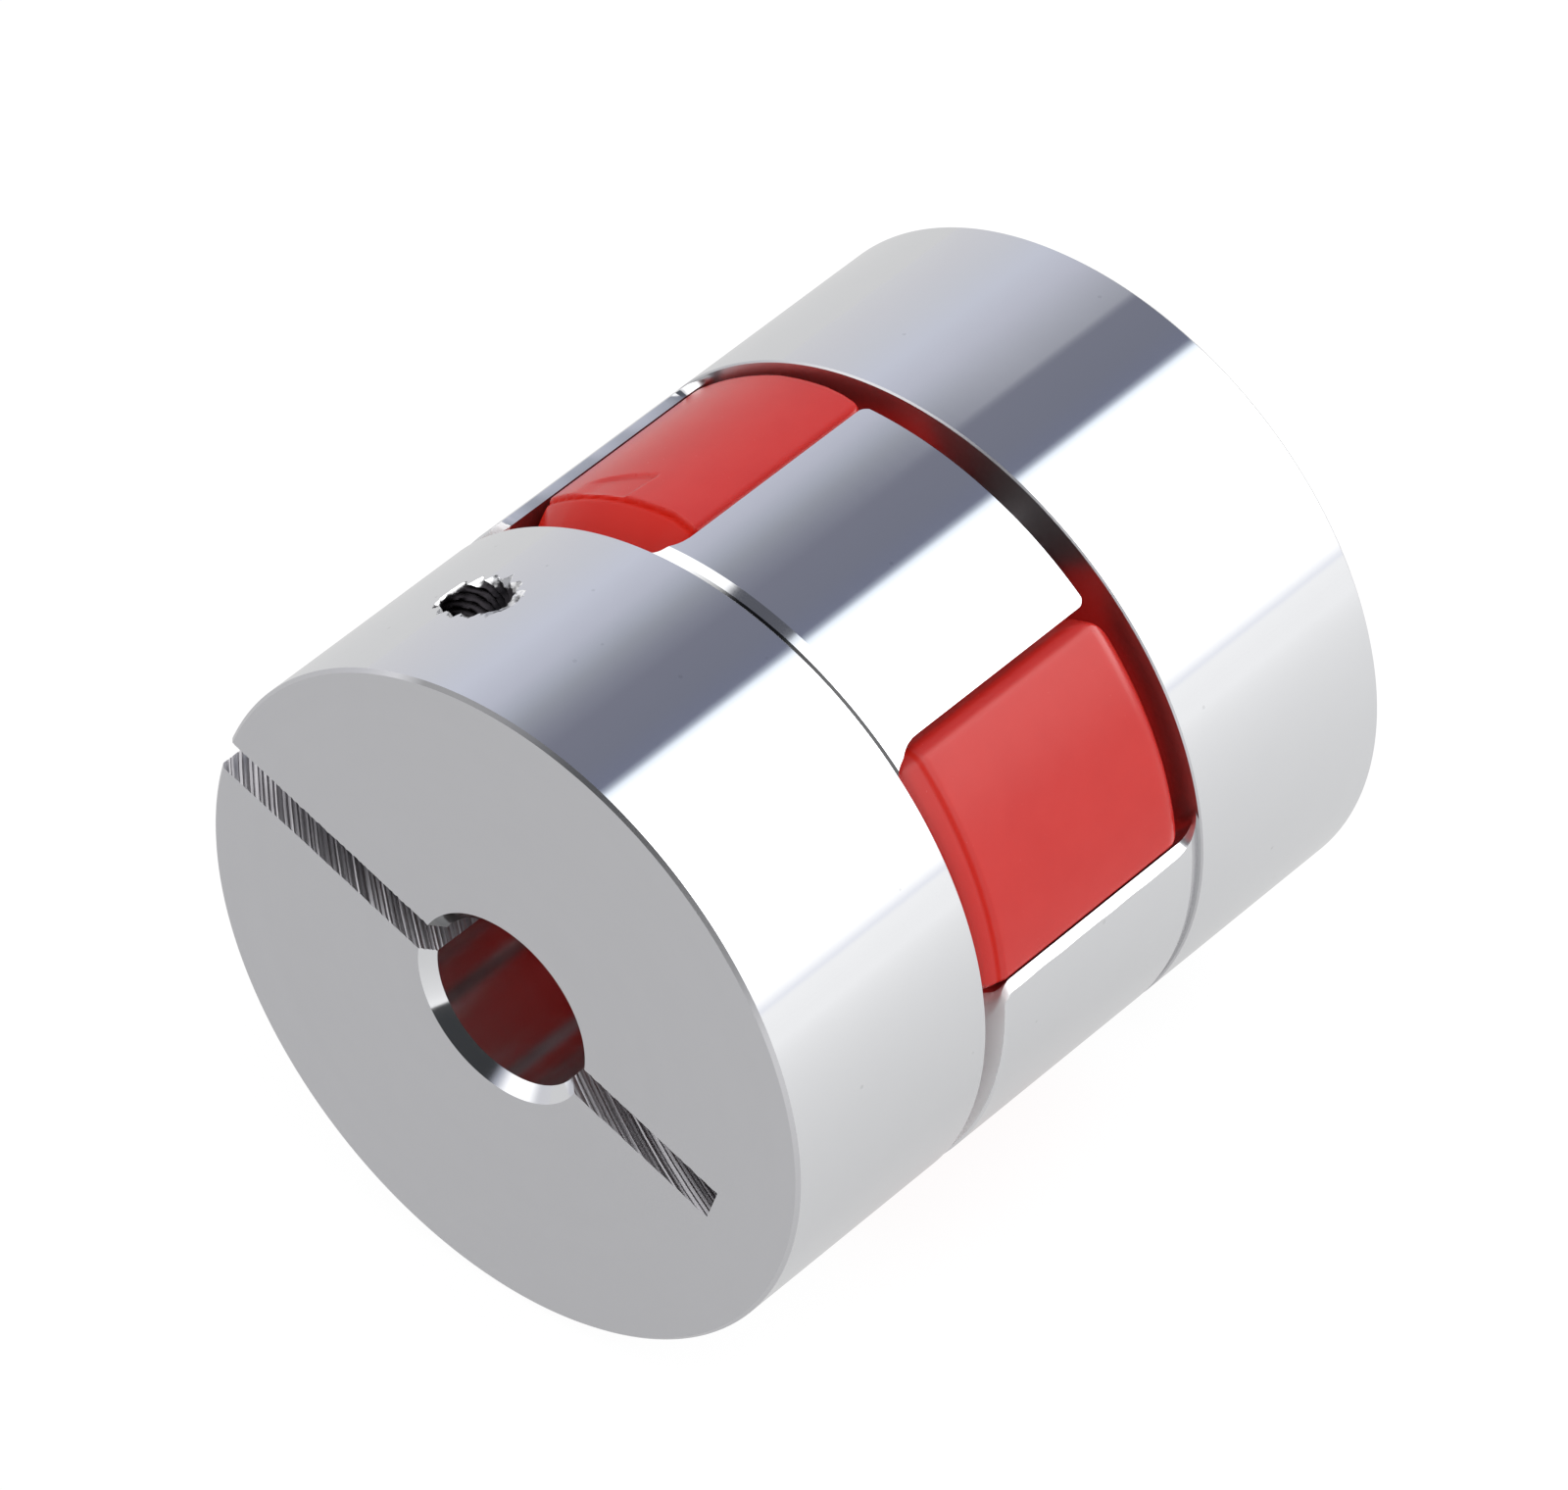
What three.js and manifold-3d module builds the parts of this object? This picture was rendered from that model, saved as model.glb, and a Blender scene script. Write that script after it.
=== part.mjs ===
// Clamping jaw coupling, 30 mm across and 35 mm long.
// Two identical aluminium hubs, each with two axial jaws, drive each other
// through a four-lobe polyurethane spider. Each hub is split through its bore
// and closed on the shaft by one M3 socket cap screw.
// Millimetres. +X runs along the coupling's axis from the driver hub to the
// driven hub, +Z is up, and the origin is the middle of the coupling.

import * as THREE from 'three';
import { mergeVertices } from 'three/addons/utils/BufferGeometryUtils.js';
import Module from 'manifold-3d';

const RAD = Math.PI / 180;

// ---- coupling ----
const LENGTH = 35;             // end face to end face
const LOBE_PITCH = 90;         // degrees between neighbouring lobes
const DRIVER_ANGLE = 19;       // driver's jaw centre line, degrees about +X from +Z
const DRIVEN_ANGLE = DRIVER_ANGLE + LOBE_PITCH;
const FLANK_CENTRE_R = 11.5;   // centre of the round flanks of lobes and pockets

// ---- hub body and jaws ----
const HUB_R = 15;
const HUB_BODY = 11;           // axial length of the round body
const JAW_LENGTH = 11.8;       // axial length of a jaw beyond the body
const JAW_INNER_R = 7;
const BORE_R = 3.75;
const BORE_CHAMFER = 0.53;     // shaft lead-in on the end face
const BORE_BREAK = 0.3;        // bore edge on the jaw side
const END_CHAMFER = 0.15;      // outer edge of the end face
const EDGE_BREAK = 0.08;       // outer edge of the body on the jaw side
const TIP_CHAMFER = 0.15;      // outer edge of a jaw tip
const TIP_INNER_CHAMFER = 0.2; // inner edge of a jaw tip
const RELIEF_DEPTH = 0.18;     // step at the root of a jaw
const RELIEF_LENGTH = 0.6;     // length over which the step runs out
const HUB_SEGMENTS = 72;

// ---- pockets between the jaws ----
const POCKET_R = 5.6;          // radius of the flank that holds a lobe
const POCKET_FLANK_END_R = 6.3; // hub radius where the sampled flank stops
const FLANK_STEPS = 14;
const JAW_BREAK_DEPTH = 0.33;  // bevel along a jaw's outer edges, inwards
const JAW_BREAK_WIDTH = 0.3;   // and around
const BREAK_OVERRUN = 0.6;     // how far the bevel cut runs on outside the hub
const ROOT_FILLET = 0.6;       // fillet between flank and body, around the axis
const ROOT_FILLET_X = 1.2;     // the same fillet along the axis

// ---- clamp slit and cross hole ----
const OVERCUT = 2;             // how far cutters run past the hub
const SLIT_W = 1.65;
const SLIT_BLIND_R = 11.3;     // radius where the slit stops on its closed side
const SCREW_X = 5.7;           // screw axis from the end face
const SCREW_OFFSET = 10.1;     // screw axis from the coupling axis
const TAPPED_D = 3;            // M3 thread in the hub
const CLEAR_D = 3.4;           // M3 clearance hole
const CLEAR_PAST_MIDDLE = 0.2; // clearance hole's reach beyond the slit's middle
const HEAD_BORE_D = 6.1;       // counterbore for the screw head
const HEAD_SEAT = 3.8;         // counterbore floor from the slit's middle plane
const HOLE_SEGMENTS = 28;
const HEAD_BORE_SEGMENTS = 36;

// ---- clamp screw ----
const SCREW_LENGTH = 12;       // under the head
const SHANK_R = 1.3;           // thread shown as a plain shank
const SHANK_CHAMFER = 0.4;
const NECK_WIDTH = 0.15;       // flare of the shank under the head
const NECK_LENGTH = 0.2;
const HEAD_R = 2.75;
const HEAD_H = 3;
const HEAD_UNDER_CHAMFER = 0.1;
const HEAD_TOP_CHAMFER = 0.25;
const HEX_AF = 2.5;            // hexagon socket across flats
const HEX_DEPTH = 1.5;
const HEX_OVERCUT = 1;
const SEAT_GAP = 0.1;          // under the head
const SCREW_SEGMENTS = 32;

// ---- spider ----
const SPIDER_WIDTH = 12;       // axial
const LOBE_COUNT = 360 / LOBE_PITCH;
const LOBE_OUTER_R = 14.65;
const LOBE_R = 5.4;            // radius of a lobe's rounded flank
const LOBE_FLANK_END = 0.5;    // sampled flank stops this far inside the lobe's crown
const LOBE_CORNER_DROP = 0.15; // corner point, inside the crown
const LOBE_CORNER_TURN = 0.75; // corner point, degrees in from the flank
const LOBE_CROWN_TURN = 2.2;   // ends of the crown arc, degrees in from the flank
const RING_R = 6.8;            // inner ring that joins the lobes
const SPIDER_HOLE_R = 5.25;
const LOBE_EDGE = 0.6;         // rounding of the end edges, along the axis
const LOBE_EDGE_ACROSS = LOBE_EDGE * 0.8;
const LOBE_FLANK_STEPS = 11;
const CROWN_STEPS = 8;
const RING_STEPS = 6;
const SPIDER_HOLE_POINTS = 48;

// ---- solids ----
const wasm = await Module();
wasm.setup();

// Welds the vertices, drops collapsed triangles and turns the faces outwards.
function toSolid(geometry) {
  const bare = new THREE.BufferGeometry();
  bare.setAttribute('position', geometry.attributes.position);
  bare.setIndex(geometry.index);
  const welded = mergeVertices(bare, 1e-5);
  const { position } = welded.attributes;
  const source = welded.index.array;
  const corner = (index) => new THREE.Vector3().fromBufferAttribute(position, index);

  const triangles = [];
  let volume = 0;
  for (let i = 0; i < source.length; i += 3) {
    const [first, second, third] = source.slice(i, i + 3);
    if (first === second || second === third || first === third) continue;
    triangles.push(first, second, third);
    volume += corner(second).cross(corner(third)).dot(corner(first));
  }
  if (volume < 0) {
    for (let i = 0; i < triangles.length; i += 3) {
      [triangles[i], triangles[i + 1]] = [triangles[i + 1], triangles[i]];
    }
  }
  return new wasm.Manifold(new wasm.Mesh({
    numProp: 3,
    vertProperties: new Float32Array(position.array),
    triVerts: new Uint32Array(triangles),
  }));
}

function toGeometry(solid) {
  const mesh = solid.getMesh();
  const geometry = new THREE.BufferGeometry();
  const positions = new Float32Array(mesh.vertProperties);
  geometry.setAttribute('position', new THREE.BufferAttribute(positions, 3));
  geometry.setIndex(new THREE.BufferAttribute(new Uint32Array(mesh.triVerts), 1));
  geometry.computeVertexNormals();
  return geometry;
}

// A profile of [x, radius] points, closed and turned about the X axis.
function turned(profile, segments) {
  const points = [...profile, profile[0]].map(([x, radius]) => new THREE.Vector2(radius, x));
  return toSolid(new THREE.LatheGeometry(points, segments).rotateZ(-Math.PI / 2));
}

// Takes the shape's plane to YZ and the extrusion to +X.
const ALONG_X = new THREE.Matrix4().makeBasis(
  new THREE.Vector3(0, 1, 0),
  new THREE.Vector3(0, 0, 1),
  new THREE.Vector3(1, 0, 0),
);

// A YZ shape run along +X from start. Its end edges are rounded inside the
// shape, and depth is the length between the two roundings.
function extrudedX(shape, { start, depth, roundX, roundAcross }) {
  const geometry = new THREE.ExtrudeGeometry(shape, {
    depth,
    bevelEnabled: true,
    bevelThickness: roundX,
    bevelSize: roundAcross,
    bevelOffset: -roundAcross,
    bevelSegments: 3,
    curveSegments: 1,
  });
  return toSolid(geometry.applyMatrix4(ALONG_X).translate(start + roundX, 0, 0));
}

// The YZ point at a radius and an angle in degrees about +X, counted from +Z.
function polar([radius, angle]) {
  return new THREE.Vector2(-radius * Math.sin(angle * RAD), radius * Math.cos(angle * RAD));
}

// Degrees between a lobe's centre line and its flank circle at a radius.
function flankAngle(radius, circleR) {
  const cosine = (radius ** 2 + FLANK_CENTRE_R ** 2 - circleR ** 2)
    / (2 * radius * FLANK_CENTRE_R);
  return Math.acos(cosine) / RAD;
}

// ---- hub, with its end face at x = 0, jaws towards +Z and -Z, slit open on +Y ----
function hubBlank() {
  const tip = HUB_BODY + JAW_LENGTH;
  return turned([
    [0, BORE_R + BORE_CHAMFER],
    [BORE_CHAMFER, BORE_R],
    [HUB_BODY - BORE_BREAK, BORE_R],
    [HUB_BODY, BORE_R + BORE_BREAK],
    [HUB_BODY, JAW_INNER_R],
    [tip - TIP_INNER_CHAMFER, JAW_INNER_R],
    [tip, JAW_INNER_R + TIP_INNER_CHAMFER],
    [tip, HUB_R - TIP_CHAMFER],
    [tip - TIP_CHAMFER, HUB_R],
    [HUB_BODY + RELIEF_LENGTH, HUB_R],
    [HUB_BODY, HUB_R - RELIEF_DEPTH],
    [HUB_BODY - EDGE_BREAK, HUB_R],
    [END_CHAMFER, HUB_R],
    [0, HUB_R - END_CHAMFER],
  ], HUB_SEGMENTS);
}

// The space between the jaws: two flank circles and everything between them.
// It lies towards -Y, turned by a further angle in degrees about +X.
function jawPocket(turn) {
  const pocketAngle = (radius) => LOBE_PITCH / 2 - flankAngle(radius, POCKET_R);
  const edgeR = HUB_R - JAW_BREAK_DEPTH;
  const breakAngle = JAW_BREAK_WIDTH / HUB_R / RAD;
  const overrunAngle = pocketAngle(edgeR)
    - breakAngle * (1 + BREAK_OVERRUN / JAW_BREAK_DEPTH);

  // [radius, angle] from outside the hub, down one flank, to inside the bore.
  const side = [[20, overrunAngle - 1], [HUB_R + BREAK_OVERRUN, overrunAngle]];
  for (let i = 0; i <= FLANK_STEPS; i += 1) {
    const radius = edgeR - (edgeR - POCKET_FLANK_END_R) * i / FLANK_STEPS;
    side.push([radius, pocketAngle(radius)]);
  }
  side.push([3.5, 60]);

  const mirrored = side.map(([radius, angle]) => [radius, 180 - angle]).reverse();
  const outline = [...side, ...mirrored, [24, 120], [24, 60]];
  const points = outline.map(([radius, angle]) => polar([radius, angle + turn]));
  return extrudedX(new THREE.Shape(points), {
    start: HUB_BODY,
    depth: JAW_LENGTH + OVERCUT,
    roundX: ROOT_FILLET_X,
    roundAcross: ROOT_FILLET,
  });
}

// Clamp slit through the bore, open on +Y and blind on -Y.
function clampSlit() {
  const openY = HUB_R + OVERCUT;
  return toSolid(new THREE.BoxGeometry(HUB_BODY + OVERCUT, openY + SLIT_BLIND_R, SLIT_W)
    .translate(HUB_BODY / 2, (openY - SLIT_BLIND_R) / 2, 0));
}

// A hole on the screw axis, from one z to another.
function crossHole(diameter, zFrom, zTo, segments) {
  const radius = diameter / 2;
  return toSolid(new THREE.CylinderGeometry(radius, radius, zTo - zFrom, segments)
    .rotateX(Math.PI / 2)
    .translate(SCREW_X, SCREW_OFFSET, (zFrom + zTo) / 2));
}

// Cross hole: tapped on +Z, clearance and counterbore on -Z.
function hubSolid() {
  const outside = HUB_R + OVERCUT;
  return [
    jawPocket(0),
    jawPocket(180),
    clampSlit(),
    crossHole(TAPPED_D, 0, outside, HOLE_SEGMENTS),
    crossHole(CLEAR_D, -HEAD_SEAT - 1, CLEAR_PAST_MIDDLE, HOLE_SEGMENTS),
    crossHole(HEAD_BORE_D, -outside, -HEAD_SEAT, HEAD_BORE_SEGMENTS),
  ].reduce((hub, cutter) => hub.subtract(cutter), hubBlank());
}

// ---- clamp screw along X, underside of the head at x = 0, head towards +X ----
function screwSolid() {
  const body = turned([
    [-SCREW_LENGTH, 0],
    [-SCREW_LENGTH, SHANK_R - SHANK_CHAMFER],
    [-SCREW_LENGTH + SHANK_CHAMFER, SHANK_R],
    [-NECK_LENGTH, SHANK_R],
    [0, SHANK_R + NECK_WIDTH],
    [0, HEAD_R - HEAD_UNDER_CHAMFER],
    [HEAD_UNDER_CHAMFER, HEAD_R],
    [HEAD_H - HEAD_TOP_CHAMFER, HEAD_R],
    [HEAD_H, HEAD_R - HEAD_TOP_CHAMFER],
    [HEAD_H, 0],
  ], SCREW_SEGMENTS);
  const cornerR = HEX_AF / 2 / Math.cos(30 * RAD);
  const cutLength = HEX_DEPTH + HEX_OVERCUT;
  const socket = new THREE.CylinderGeometry(cornerR, cornerR, cutLength, 6)
    .rotateZ(-Math.PI / 2)
    .translate(HEAD_H - HEX_DEPTH + cutLength / 2, 0, 0);
  return body.subtract(toSolid(socket));
}

// ---- spider: four lobes on an inner ring, the first lobe towards +Z ----

// [radius, angle] points of one lobe and the ring up to the next lobe.
function lobeOutline() {
  const outerHalf = flankAngle(LOBE_OUTER_R, LOBE_R);
  const ringHalf = flankAngle(RING_R, LOBE_R);

  const flank = [];
  for (let i = 0; i <= LOBE_FLANK_STEPS; i += 1) {
    const radius = RING_R + (LOBE_OUTER_R - LOBE_FLANK_END - RING_R) * i / LOBE_FLANK_STEPS;
    flank.push([radius, flankAngle(radius, LOBE_R)]);
  }
  flank.push([LOBE_OUTER_R - LOBE_CORNER_DROP, outerHalf - LOBE_CORNER_TURN]);

  const outline = flank.map(([radius, angle]) => [radius, -angle]);
  for (let i = 0; i <= CROWN_STEPS; i += 1) {
    outline.push([LOBE_OUTER_R, (LOBE_CROWN_TURN - outerHalf) * (1 - 2 * i / CROWN_STEPS)]);
  }
  outline.push(...flank.reverse());
  for (let i = 1; i < RING_STEPS; i += 1) {
    outline.push([RING_R, ringHalf + (LOBE_PITCH - 2 * ringHalf) * i / RING_STEPS]);
  }
  return outline;
}

function spiderSolid() {
  const lobe = lobeOutline();
  const points = [];
  for (let i = 0; i < LOBE_COUNT; i += 1) {
    points.push(...lobe.map(([radius, angle]) => polar([radius, LOBE_PITCH * i + angle])));
  }
  const holePoints = [];
  for (let i = 0; i < SPIDER_HOLE_POINTS; i += 1) {
    holePoints.push(polar([SPIDER_HOLE_R, -i * 360 / SPIDER_HOLE_POINTS]));
  }
  const shape = new THREE.Shape(points);
  shape.holes.push(new THREE.Path(holePoints));
  return extrudedX(shape, {
    start: -SPIDER_WIDTH / 2,
    depth: SPIDER_WIDTH - 2 * LOBE_EDGE,
    roundX: LOBE_EDGE,
    roundAcross: LOBE_EDGE_ACROSS,
  });
}

// ---- materials ----
const aluminium = new THREE.MeshStandardMaterial({
  color: 0xcbccd0, roughness: 0.22, metalness: 1,
});
const polyurethane = new THREE.MeshStandardMaterial({
  color: 0xcf403c, roughness: 0.45, metalness: 0,
});
const steel = new THREE.MeshStandardMaterial({
  color: 0x2c2c30, roughness: 0.4, metalness: 0.9,
});

// ---- assembly ----
function namedMesh(name, solid, material) {
  const mesh = new THREE.Mesh(toGeometry(solid), material);
  mesh.name = name;
  return mesh;
}

function hubGroup(prefix) {
  const hub = namedMesh(`${prefix}_hub`, hubSolid(), aluminium);
  const screw = namedMesh(`${prefix}_clamp_screw`, screwSolid(), steel);
  screw.rotation.y = Math.PI / 2;   // turns the head to -Z
  screw.position.set(SCREW_X, SCREW_OFFSET, -HEAD_SEAT - SEAT_GAP);
  return new THREE.Group().add(hub, screw);
}

const driver = hubGroup('driver');
driver.rotation.x = DRIVER_ANGLE * RAD;
driver.position.x = -LENGTH / 2;

const driven = hubGroup('driven');
driven.rotation.z = Math.PI;        // turns the jaws to -X
const drivenTurn = new THREE.Group().add(driven);
drivenTurn.rotation.x = DRIVEN_ANGLE * RAD;
drivenTurn.position.x = LENGTH / 2;

const spider = namedMesh('spider', spiderSolid(), polyurethane);
spider.rotation.x = (DRIVER_ANGLE + LOBE_PITCH / 2) * RAD;

const coupling = new THREE.Group().add(driver, drivenTurn, spider);

export default coupling;
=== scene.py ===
import math

import bpy
import numpy as np
from mathutils import Matrix, Vector

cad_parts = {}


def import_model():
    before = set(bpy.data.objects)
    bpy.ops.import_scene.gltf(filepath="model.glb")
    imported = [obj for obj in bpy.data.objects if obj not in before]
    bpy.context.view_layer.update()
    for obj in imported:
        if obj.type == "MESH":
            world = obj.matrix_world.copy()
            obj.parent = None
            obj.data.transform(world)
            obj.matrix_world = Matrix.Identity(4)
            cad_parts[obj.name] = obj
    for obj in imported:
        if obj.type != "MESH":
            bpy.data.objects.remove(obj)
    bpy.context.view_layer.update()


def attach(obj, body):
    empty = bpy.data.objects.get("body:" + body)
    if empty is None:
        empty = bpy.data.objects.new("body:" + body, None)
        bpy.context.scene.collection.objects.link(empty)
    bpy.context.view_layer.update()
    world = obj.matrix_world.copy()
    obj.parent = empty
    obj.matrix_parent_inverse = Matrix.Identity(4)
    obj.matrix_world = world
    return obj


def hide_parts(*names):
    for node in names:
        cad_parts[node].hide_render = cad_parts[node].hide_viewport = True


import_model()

# ------------------------------------------------------------------ sizes, millimetres
R = 15.0                 # hub outside radius
HALF = 17.5              # half the coupling's length
BODY = 11.0              # hub body length
TIP = 22.8               # jaw tip from the end face
BORE_R = 3.75
JAW_IN = 7.0
POCKET_C = 11.5
POCKET_R = 5.6
SCREW_X, SCREW_Y = 5.7, 10.1
SEAT = -3.8
SLIT_HALF = 0.825
SLIT_BLIND = -11.3
PITCH = 0.5

LOBE_R0 = 14.65
LOBE_FLANK = 5.4
RING_R = 6.8
STAR_HALF = 6.0
HOLE_R = 5.25

DRIVER = Matrix.Translation((-HALF, 0, 0)) @ Matrix.Rotation(math.radians(19.0), 4, "X")
DRIVEN = (Matrix.Translation((HALF, 0, 0)) @ Matrix.Rotation(math.radians(109.0), 4, "X")
          @ Matrix.Rotation(math.pi, 4, "Z"))
STAR = Matrix.Rotation(math.radians(64.0), 4, "X")
MM = Matrix.Scale(0.001, 4)

rng = np.random.RandomState(11)


# ------------------------------------------------------------------ small node helpers
class Nodes:
    """Short hand for building a shader tree."""

    def __init__(self, tree):
        self.t = tree
        self.n = tree.nodes
        self.l = tree.links

    def new(self, kind, **props):
        node = self.n.new(kind)
        for key, value in props.items():
            if key.startswith("in_"):
                continue
            setattr(node, key, value)
        return node

    def link(self, a, b):
        self.l.new(a, b)

    def feed(self, socket, value):
        if isinstance(value, bpy.types.NodeSocket):
            self.l.new(value, socket)
        else:
            socket.default_value = value

    def math(self, op, a, b=None, c=None, clamp=False):
        node = self.n.new("ShaderNodeMath")
        node.operation = op
        node.use_clamp = clamp
        self.feed(node.inputs[0], a)
        if b is not None:
            self.feed(node.inputs[1], b)
        if c is not None:
            self.feed(node.inputs[2], c)
        return node.outputs[0]

    def vmath(self, op, a, b=None, scale=None):
        node = self.n.new("ShaderNodeVectorMath")
        node.operation = op
        self.feed(node.inputs[0], a)
        if b is not None:
            self.feed(node.inputs[1], b)
        if scale is not None:
            self.feed(node.inputs["Scale"], scale)
        return node.outputs["Value"] if op in ("LENGTH", "DOT_PRODUCT") else node.outputs[0]

    def ramp(self, fac, stops, interpolation="LINEAR"):
        node = self.n.new("ShaderNodeValToRGB")
        node.color_ramp.interpolation = interpolation
        el = node.color_ramp.elements
        while len(el) > 1:
            el.remove(el[-1])
        el[0].position, el[0].color = stops[0][0], grey(stops[0][1])
        for pos, col in stops[1:]:
            e = el.new(pos)
            e.color = grey(col)
        self.feed(node.inputs[0], fac)
        return node.outputs[0]

    def mix(self, fac, a, b, kind="RGBA", blend="MIX"):
        node = self.n.new("ShaderNodeMix")
        node.data_type = kind
        if kind == "RGBA":
            node.blend_type = blend
            i, o = (6, 7), 2
        else:
            i, o = (2, 3), 0
        self.feed(node.inputs[0], fac)
        self.feed(node.inputs[i[0]], a)
        self.feed(node.inputs[i[1]], b)
        return node.outputs[o]

    def noise(self, vector, scale, detail=3.0, rough=0.5, dims="3D"):
        node = self.n.new("ShaderNodeTexNoise")
        node.noise_dimensions = dims
        if dims == "1D":
            self.feed(node.inputs["W"], vector)
        else:
            self.feed(node.inputs["Vector"], vector)
        node.inputs["Scale"].default_value = scale
        node.inputs["Detail"].default_value = detail
        node.inputs["Roughness"].default_value = rough
        return node.outputs["Fac"]

    def combine(self, x, y, z):
        node = self.n.new("ShaderNodeCombineXYZ")
        self.feed(node.inputs[0], x)
        self.feed(node.inputs[1], y)
        self.feed(node.inputs[2], z)
        return node.outputs[0]

    def bump(self, height, distance, strength=1.0, normal=None):
        node = self.n.new("ShaderNodeBump")
        node.inputs["Strength"].default_value = strength
        node.inputs["Distance"].default_value = distance
        self.feed(node.inputs["Height"], height)
        if normal is not None:
            self.feed(node.inputs["Normal"], normal)
        return node.outputs[0]


def grey(c):
    if isinstance(c, (int, float)):
        return (c, c, c, 1.0)
    return tuple(c) + (1.0,) if len(c) == 3 else tuple(c)


def new_material(name):
    m = bpy.data.materials.new(name)
    m.use_nodes = True
    n = Nodes(m.node_tree)
    bsdf = next(x for x in m.node_tree.nodes if x.type == "BSDF_PRINCIPLED")
    co = n.new("ShaderNodeTexCoord").outputs["Object"]
    mm = n.vmath("SCALE", co, scale=1000.0)
    sep = n.new("ShaderNodeSeparateXYZ")
    n.link(mm, sep.inputs[0])
    x, y, z = sep.outputs
    radius = n.math("SQRT", n.math("ADD", n.math("MULTIPLY", y, y), n.math("MULTIPLY", z, z)))
    angle = n.math("ARCTAN2", y, z)
    return m, n, bsdf, dict(mm=mm, x=x, y=y, z=z, r=radius, a=angle)


ALU = (0.855, 0.862, 0.880)


def aluminium(name, rough, rough_var, grooves=None, groove_amp=0.0, aniso=0.0, colour=ALU, specks=0.0, metal=1.0, painted_shade=False,
              painted_shade_patch=None):
    m, n, b, c = new_material(name)
    mott = n.noise(c["mm"], 0.45, 4.0, 0.6)
    fine = n.noise(c["mm"], 6.0, 3.0, 0.6)
    tint = n.mix(n.math("MULTIPLY", mott, 0.5), grey(colour), grey([v * 0.955 for v in colour]))
    normal = None
    r_socket = n.math("ADD", rough - rough_var / 2, n.math("MULTIPLY", n.mix(0.35, mott, fine, kind="FLOAT"), rough_var))
    if grooves == "around":        # turning marks: rings side by side along the axis
        v = n.combine(n.math("MULTIPLY", c["x"], 9.0), n.math("MULTIPLY", c["a"], 0.35), 0.0)
        lines = n.noise(v, 1.0, 5.0, 0.75)
        v2 = n.combine(n.math("MULTIPLY", c["x"], 1.3), n.math("MULTIPLY", c["a"], 0.2), 3.0)
        broad = n.noise(v2, 1.0, 2.0, 0.5)
        r_socket = n.math("ADD", r_socket, n.math("MULTIPLY", n.math("SUBTRACT", broad, 0.5), rough_var))
        normal = n.bump(lines, groove_amp)
    elif grooves == "rings":       # facing marks: circles on the end face
        v = n.combine(n.math("MULTIPLY", c["r"], 8.0), n.math("MULTIPLY", c["a"], 0.5), 1.0)
        lines = n.noise(v, 1.0, 5.0, 0.8)
        v2 = n.combine(n.math("MULTIPLY", c["r"], 0.9), n.math("MULTIPLY", c["a"], 0.3), 5.0)
        broad = n.noise(v2, 1.0, 2.0, 0.5)
        tint = n.mix(n.math("MULTIPLY", broad, 0.35), tint, grey([v * 0.93 for v in colour]))
        grain = n.noise(c["mm"], 22.0, 2.0, 0.6)
        normal = n.bump(n.mix(0.45, lines, grain, kind="FLOAT"), groove_amp)
    elif grooves == "grain":
        grain = n.noise(c["mm"], 9.0, 4.0, 0.7)
        normal = n.bump(grain, groove_amp)
    if specks:
        v = n.new("ShaderNodeTexVoronoi")
        n.feed(v.inputs["Vector"], c["mm"])
        v.inputs["Scale"].default_value = 0.55
        dot = n.math("LESS_THAN", v.outputs["Distance"], 0.05)
        tint = n.mix(n.math("MULTIPLY", dot, specks), tint, grey([x * 0.75 for x in colour]))
    if painted_shade_patch:                      # painted shade: a darker stretch of colour round an edge of the front hub, standing in for a dark reflection or the shade at the root
        lo0, lo1, hi0, hi1, k, x0, x1 = painted_shade_patch
        turn = n.math("DIVIDE", n.math("ADD", n.math("MULTIPLY", c["a"], -180 / math.pi), 180.0), 360.0)
        w = n.ramp(turn, [((v + 180) / 360, g) for v, g in ((lo0, 0.0), (lo1, 1.0), (hi0, 1.0), (hi1, 0.0))])
        w = n.math("MULTIPLY", w, n.math("MULTIPLY", n.math("GREATER_THAN", c["x"], x0), n.math("LESS_THAN", c["x"], x1)))
        tint = n.mix(w, tint, grey([v * k for v in colour]))
    if painted_shade:                       # painted shade: dark down the hole, where little light gets in; bare metal where the rim is torn
        rim = n.ramp(n.math("DIVIDE", n.math("ADD", c["r"], n.math("MULTIPLY", n.math("SUBTRACT", n.noise(c["mm"], 2.2, 2.0), 0.5), 0.8)),
                            20.0), [(14.76 / 20, 0.0), (14.93 / 20, 1.0)])
        tint = n.mix(rim, grey((0.022, 0.020, 0.023)), tint)
    n.feed(b.inputs["Base Color"], tint)
    n.feed(b.inputs["Roughness"], r_socket)
    b.inputs["Metallic"].default_value = metal
    if aniso:
        tan = n.new("ShaderNodeTangent")
        tan.direction_type = "RADIAL"
        tan.axis = "X"
        n.link(tan.outputs[0], b.inputs["Tangent"])
        b.inputs["Anisotropic"].default_value = aniso
    if normal is not None:
        n.link(normal, b.inputs["Normal"])
    return m


M_OD = aluminium("aluminium_turned_outside", 0.055, 0.03, "around", 0.00000012, specks=0.4)
M_FACE = aluminium("aluminium_faced_end", 0.42, 0.06, "rings", 0.000004, colour=(0.645, 0.645, 0.665))
M_CONE = aluminium("aluminium_chamfer", 0.09, 0.04, "around", 0.0000002)
M_BORE = aluminium("aluminium_reamed_bore", 0.20, 0.06, "around", 0.0000006, colour=(0.84, 0.82, 0.82))
M_MILL = aluminium("aluminium_milled_jaw", 0.30, 0.10, "grain", 0.000001, colour=(0.60, 0.60, 0.61))
# painted light: the jaw tip finish is a brighter, partly non-metal copy of the milled aluminium, so the tips read light
# inside the gap
M_TIP = aluminium("aluminium_jaw_tip", 0.45, 0.10, "grain", 0.000001, colour=(0.93, 0.93, 0.94), metal=0.3)
M_SLIT = aluminium("aluminium_sawn_slit", 0.42, 0.08, "grain", 0.000002, colour=(0.56, 0.55, 0.57))
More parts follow.
